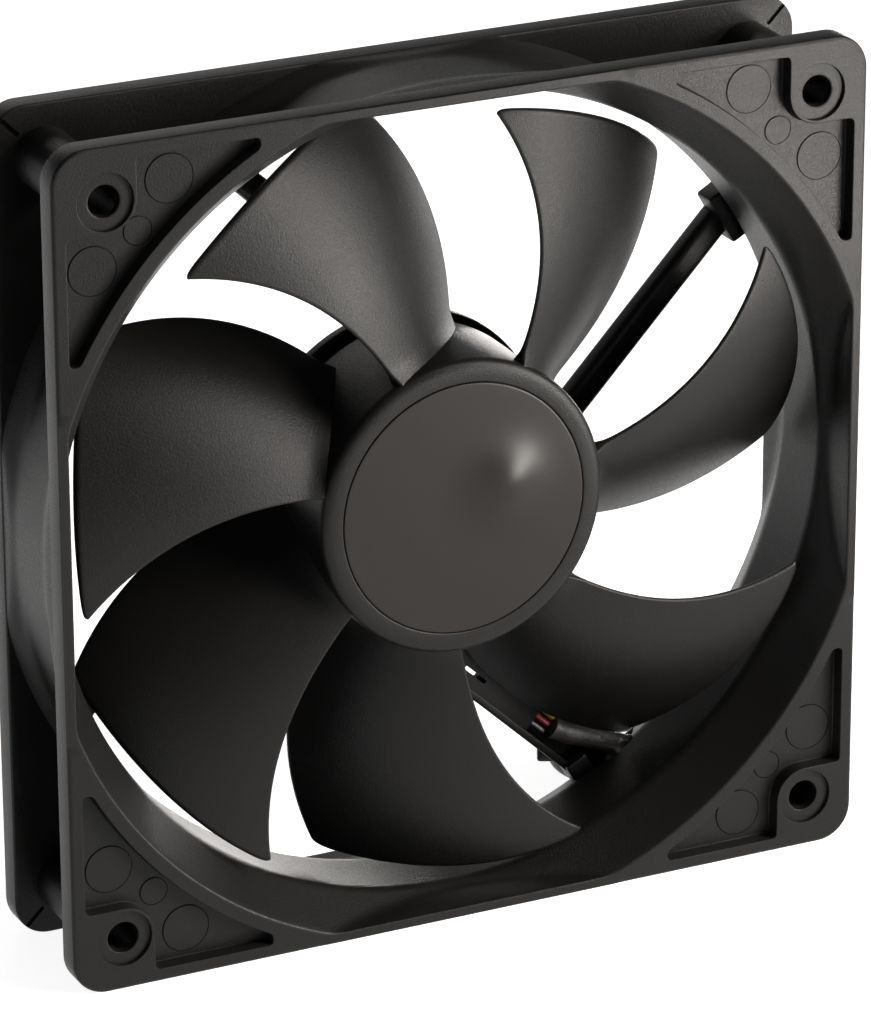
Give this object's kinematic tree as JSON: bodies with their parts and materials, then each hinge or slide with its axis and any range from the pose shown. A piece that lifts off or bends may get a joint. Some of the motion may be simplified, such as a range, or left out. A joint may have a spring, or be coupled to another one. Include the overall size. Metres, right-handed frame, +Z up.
{
  "type": "case fan",
  "caption": "Square axial case fan: moulded frame with corner screw holes, sickle-bladed impeller on a hub motor, strut-mounted motor base and a sleeved lead with plug.",
  "frame": {"origin": "centre of the square frame, on the rotor's axis, half way through its depth", "axes": "+Z up, +X to the right seen from the labelled side, -Y out of the labelled side (air comes in there)"},
  "size_m": [0.1331, 0.0488, 0.12],
  "materials": {
    "black_plastic": "matte moulded, fine spark-eroded grain",
    "label_film": "satin film, blank",
    "steel": "plain",
    "magnet": "bonded ferrite, matte",
    "brass": "turned",
    "bronze": "sintered, dull",
    "copper": "enamelled wire",
    "white_plastic": "moulded",
    "circuit_board": "solder mask",
    "chip": "moulded",
    "cable_sleeve": "satin",
    "lead_black": "satin",
    "lead_red": "satin",
    "lead_yellow": "satin"
  },
  "bodies": {
    "frame": {"frame": "black_plastic", "rear_label": "label_film", "bearing_tube": "brass", "sleeve_bearing": "bronze", "thrust_washer": "white_plastic", "bearing_cap": "white_plastic", "stator_core": "steel", "upper_insulator": "white_plastic", "lower_insulator": "white_plastic", "coil_1": "copper", "coil_2": "copper", "coil_3": "copper", "coil_4": "copper", "circuit_board": "circuit_board", "hall_driver": "chip", "capacitor": "bronze", "diode": "chip", "lead_black": "lead_black", "lead_red": "lead_red", "lead_yellow": "lead_yellow", "heat_shrink_boot": "cable_sleeve", "cable": "cable_sleeve", "cable_hank": "cable_sleeve", "cable_tie": "black_plastic", "plug_housing": "black_plastic", "plug_contact_1": "brass", "plug_contact_2": "brass", "plug_contact_3": "brass"},
    "rotor": {"impeller": "black_plastic", "hub_label": "label_film", "rotor_yoke": "steel", "ring_magnet": "magnet", "shaft": "steel", "shaft_bush": "brass", "retaining_clip": "white_plastic"}
  },
  "joints": [
    {"name": "rotor_spin", "type": "hinge", "parent": "frame", "child": "rotor", "pos_m": [0, 0, 0], "axis": [0, -1, 0], "continuous": true}
  ]
}
